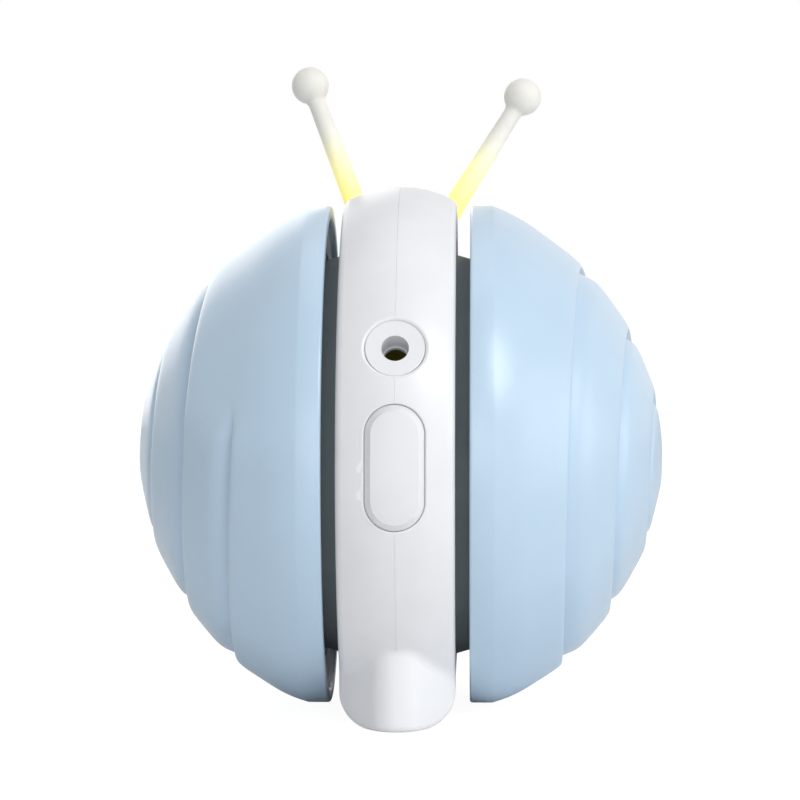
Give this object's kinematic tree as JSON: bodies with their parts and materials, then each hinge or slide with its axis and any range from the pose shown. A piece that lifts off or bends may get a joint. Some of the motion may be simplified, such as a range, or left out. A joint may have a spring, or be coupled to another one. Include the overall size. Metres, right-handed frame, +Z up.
{
  "type": "motorized cat toy",
  "caption": "Self-rolling cat toy shaped like a snail: two domed spiral shells turn as wheels on a slim body with soft antennas, a push button, a tail skid and a teaser socket.",
  "frame": {"origin": "on the ground midway between the wheels, straight below the axle line", "axes": "+Z up, +X along the axle to the right-hand shell as seen from behind, -Y towards the tail skid, the button and the teaser socket"},
  "size_m": [0.089, 0.0914, 0.109],
  "materials": {
    "white_plastic": "white moulded plastic, semi-gloss",
    "button_plastic": "white moulded plastic, smooth",
    "shell_blue": "light blue moulded plastic, satin with a fine grain",
    "slate_plastic": "dark slate moulded plastic, satin",
    "antenna_silicone": "soft translucent off-white silicone",
    "lamp_lens": "clear yellow lens",
    "gear_nylon": "natural nylon",
    "black_plastic": "black moulded plastic",
    "circuit_board": "green solder mask",
    "battery_foil": "silver pouch foil",
    "steel": "bright steel",
    "brass": "brass"
  },
  "bodies": {
    "body": {"battery_cell": "battery_foil", "battery_tray": "white_plastic", "casing_screws": "steel", "charge_board": "circuit_board", "charge_port": "steel", "control_board": "circuit_board", "control_chips": "black_plastic", "drum_screws": "steel", "gear_plate_screws": "steel", "lamp_bracket": "white_plastic", "left_antenna_base": "antenna_silicone", "left_casing": "white_plastic", "left_first_pin": "steel", "left_gear_plate": "slate_plastic", "left_hub_drum": "slate_plastic", "left_inner_bush": "brass", "left_lamp": "lamp_lens", "left_motor_can": "steel", "left_motor_cap": "black_plastic", "left_outer_bush": "brass", "left_second_pin": "steel", "motor_screws": "steel", "right_antenna_base": "antenna_silicone", "right_casing": "white_plastic", "right_first_pin": "steel", "right_gear_plate": "slate_plastic", "right_hub_drum": "slate_plastic", "right_inner_bush": "brass", "right_lamp": "lamp_lens", "right_motor_can": "steel", "right_motor_cap": "black_plastic", "right_outer_bush": "brass", "right_second_pin": "steel", "switch_body": "black_plastic", "teaser_socket": "white_plastic"},
    "right_wheel": {"right_axle": "steel", "right_output_gear": "gear_nylon", "right_wheel_frame": "slate_plastic", "right_wheel_screw": "steel", "right_shell_screws": "steel", "right_shell": "shell_blue"},
    "right_second": {"right_second_gear": "gear_nylon"},
    "right_first": {"right_first_gear": "gear_nylon"},
    "right_rotor": {"right_motor_shaft": "steel", "right_motor_pinion": "brass"},
    "right_feeler": {"right_antenna": "antenna_silicone"},
    "left_wheel": {"left_axle": "steel", "left_output_gear": "gear_nylon", "left_wheel_frame": "slate_plastic", "left_wheel_screw": "steel", "left_shell_screws": "steel", "left_shell": "shell_blue"},
    "left_second": {"left_second_gear": "gear_nylon"},
    "left_first": {"left_first_gear": "gear_nylon"},
    "left_rotor": {"left_motor_shaft": "steel", "left_motor_pinion": "brass"},
    "left_feeler": {"left_antenna": "antenna_silicone"},
    "button": {"mode_button": "button_plastic", "switch_plunger": "button_plastic"}
  },
  "joints": [
    {"name": "right_wheel_spin", "type": "hinge", "parent": "body", "child": "right_wheel", "pos_m": [0, 0, 0.0422], "axis": [1, 0, 0], "continuous": true},
    {"name": "right_second_spin", "type": "hinge", "parent": "body", "child": "right_second", "pos_m": [0, -0.00447, 0.05447], "axis": [1, 0, 0], "continuous": true},
    {"name": "right_first_spin", "type": "hinge", "parent": "body", "child": "right_first", "pos_m": [0, 0.00687, 0.0586], "axis": [1, 0, 0], "continuous": true},
    {"name": "right_rotor_spin", "type": "hinge", "parent": "body", "child": "right_rotor", "pos_m": [0, 0.01539, 0.05007], "axis": [1, 0, 0], "continuous": true},
    {"name": "left_wheel_spin", "type": "hinge", "parent": "body", "child": "left_wheel", "pos_m": [0, 0, 0.0422], "axis": [1, 0, 0], "continuous": true},
    {"name": "left_second_spin", "type": "hinge", "parent": "body", "child": "left_second", "pos_m": [0, 0.00447, 0.05447], "axis": [1, 0, 0], "continuous": true},
    {"name": "left_first_spin", "type": "hinge", "parent": "body", "child": "left_first", "pos_m": [0, -0.00687, 0.0586], "axis": [1, 0, 0], "continuous": true},
    {"name": "left_rotor_spin", "type": "hinge", "parent": "body", "child": "left_rotor", "pos_m": [0, -0.01539, 0.05007], "axis": [1, 0, 0], "continuous": true},
    {"name": "button_press", "type": "slide", "parent": "body", "child": "button", "axis": [0, 0.9997, -0.0262], "range_m": [0, 0.0005], "stiffness_N_per_m": 2500, "springref_m": -0.0002},
    {"name": "right_antenna_bend", "type": "hinge", "parent": "body", "child": "right_feeler", "pos_m": [0.00793, 0.02408, 0.08284], "axis": [1, 0, 0], "range_deg": [-20, 20], "stiffness_Nm_per_rad": 0.02},
    {"name": "left_antenna_bend", "type": "hinge", "parent": "body", "child": "left_feeler", "pos_m": [-0.00793, 0.02408, 0.08284], "axis": [1, 0, 0], "range_deg": [-20, 20], "stiffness_Nm_per_rad": 0.02}
  ],
  "couplings": [
    {"joint": "right_second_spin", "follows": "right_wheel_spin", "ratio": -3.3333},
    {"joint": "right_first_spin", "follows": "right_wheel_spin", "ratio": 10},
    {"joint": "right_rotor_spin", "follows": "right_wheel_spin", "ratio": -30},
    {"joint": "left_second_spin", "follows": "left_wheel_spin", "ratio": -3.3333},
    {"joint": "left_first_spin", "follows": "left_wheel_spin", "ratio": 10},
    {"joint": "left_rotor_spin", "follows": "left_wheel_spin", "ratio": -30}
  ]
}
